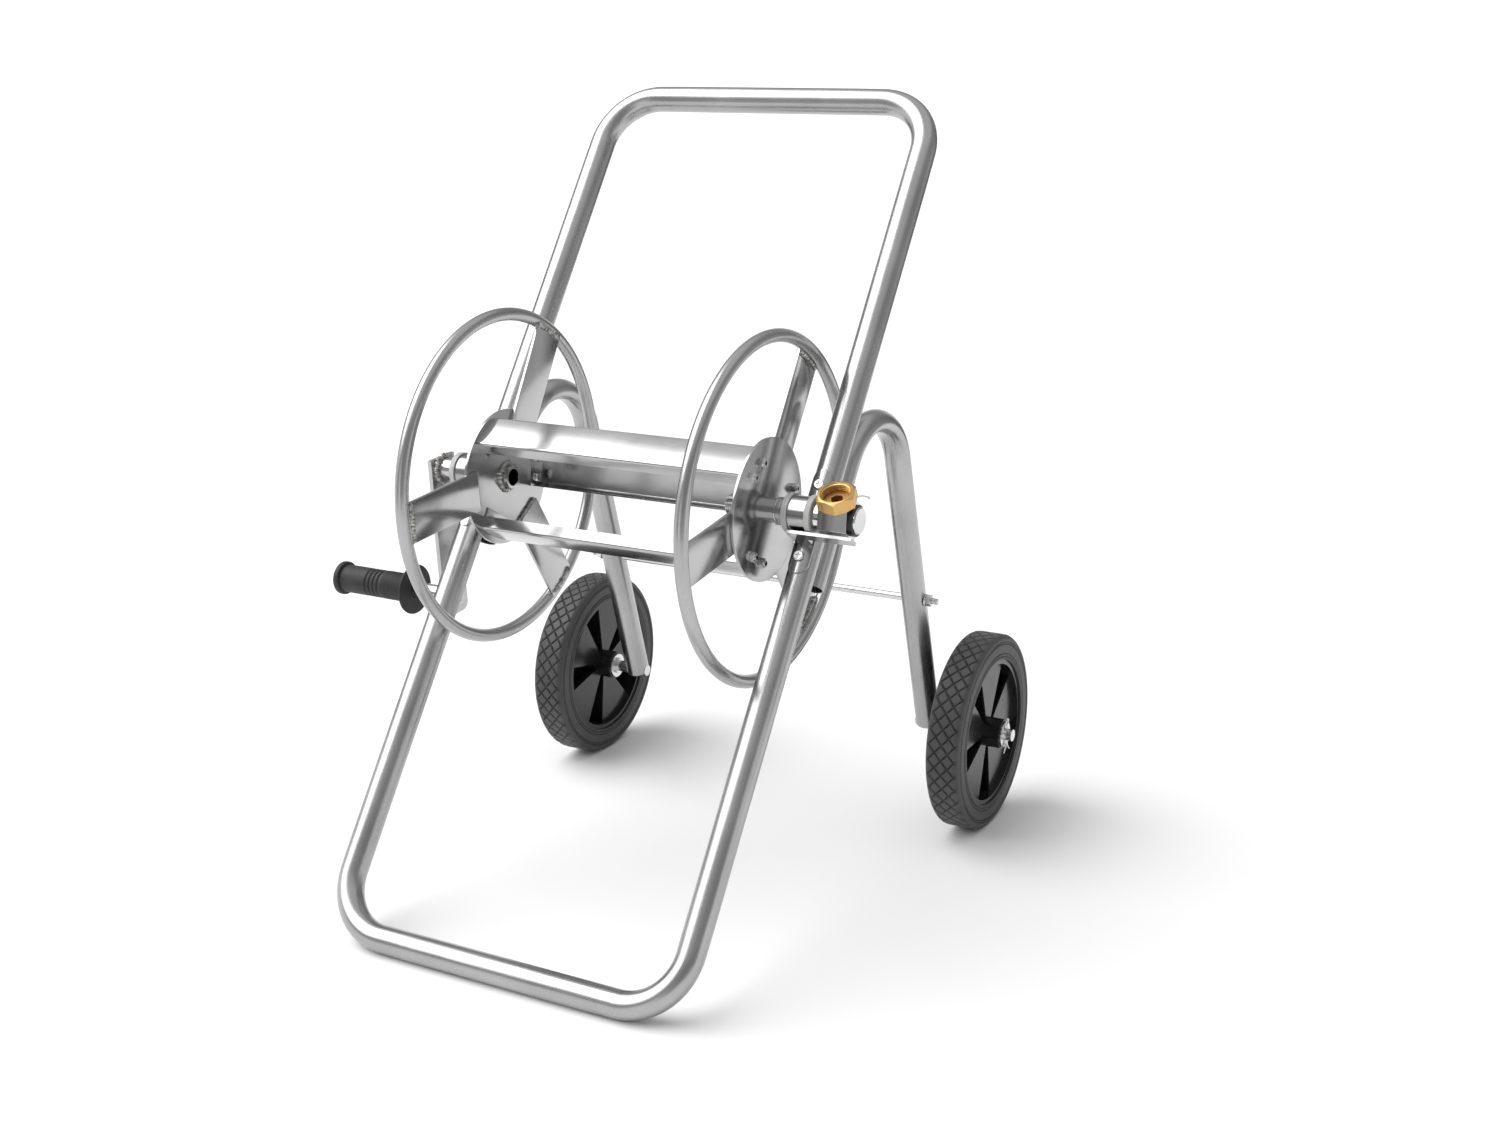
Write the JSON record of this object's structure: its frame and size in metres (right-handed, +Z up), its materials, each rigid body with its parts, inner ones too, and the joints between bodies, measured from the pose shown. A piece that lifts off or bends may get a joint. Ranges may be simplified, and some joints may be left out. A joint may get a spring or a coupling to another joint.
{
  "type": "hose reel cart",
  "caption": "Wheeled hose reel: a leaning tube loop on two wheels carries a hand-cranked drum with ring flanges and a swivelling brass water inlet.",
  "frame": {"origin": "on the floor, at the centre of the whole cart's box in plan", "axes": "+X across, from the crank towards the water inlet; +Y to the rear, from the foot bar towards the wheels; +Z up"},
  "size_m": [0.618, 0.6308, 0.7319],
  "materials": {
    "tube": "satin tube",
    "sheet": "rolled sheet",
    "zinc": "bright zinc",
    "bright": "turned and polished",
    "bush_plastic": "light grey nylon",
    "seal_rubber": "matt",
    "brass": "turned brass",
    "grip_rubber": "matt",
    "tyre": "matt",
    "rim_plastic": "gloss"
  },
  "bodies": {
    "frame": {"main_loop": "tube", "tie_rod": "zinc", "tie_washers": "zinc", "tie_nuts": "zinc", "wheel_washers": "zinc", "split_pins": "zinc", "strap_screws": "zinc", "swivel_body": "bright", "swivel_cap": "bush_plastic", "swivel_seal": "seal_rubber", "stop_bar": "bright", "inlet_tail": "brass", "left_leg": "tube", "left_axle_stub": "zinc", "left_bearing_bush": "bush_plastic", "left_bearing_strap": "bright", "right_leg": "tube", "right_axle_stub": "zinc", "right_bearing_bush": "bush_plastic", "right_bearing_strap": "bright"},
    "reel": {"slat_bolts": "zinc", "slat_nuts": "zinc", "crank_shaft": "bright", "inlet_shaft": "bright", "outlet_nipple": "bright", "shaft_collar": "bright", "crank_arm": "sheet", "handle_bolt": "zinc", "handle_nut": "zinc", "slat_1": "sheet", "slat_2": "sheet", "slat_3": "sheet", "left_disc": "sheet", "left_ring": "tube", "left_spoke_1": "sheet", "left_spoke_2": "sheet", "left_spoke_3": "sheet", "right_disc": "sheet", "right_ring": "tube", "right_spoke_1": "sheet", "right_spoke_2": "sheet", "right_spoke_3": "sheet"},
    "grip": {"crank_grip": "grip_rubber", "grip_sleeve": "bright"},
    "left_wheel": {"left_tyre": "tyre", "left_rim": "rim_plastic"},
    "right_wheel": {"right_tyre": "tyre", "right_rim": "rim_plastic"},
    "inlet_nut": {"inlet_nut": "brass"}
  },
  "joints": [
    {"name": "reel_spin", "type": "hinge", "parent": "frame", "child": "reel", "pos_m": [0.04095, -0.0739, 0.38338], "axis": [1, 0, 0], "continuous": true},
    {"name": "grip_spin", "type": "hinge", "parent": "reel", "child": "grip", "pos_m": [-0.21605, -0.06415, 0.25375], "axis": [1, 0, 0], "continuous": true},
    {"name": "left_wheel_spin", "type": "hinge", "parent": "frame", "child": "left_wheel", "pos_m": [-0.19015, 0.2154, 0.1], "axis": [1, 0, 0], "continuous": true},
    {"name": "right_wheel_spin", "type": "hinge", "parent": "frame", "child": "right_wheel", "pos_m": [0.27205, 0.2154, 0.1], "axis": [1, 0, 0], "continuous": true},
    {"name": "inlet_nut_spin", "type": "hinge", "parent": "frame", "child": "inlet_nut", "pos_m": [0.25295, -0.08074, 0.39829], "axis": [0, -0.4171, 0.9089], "continuous": true}
  ]
}
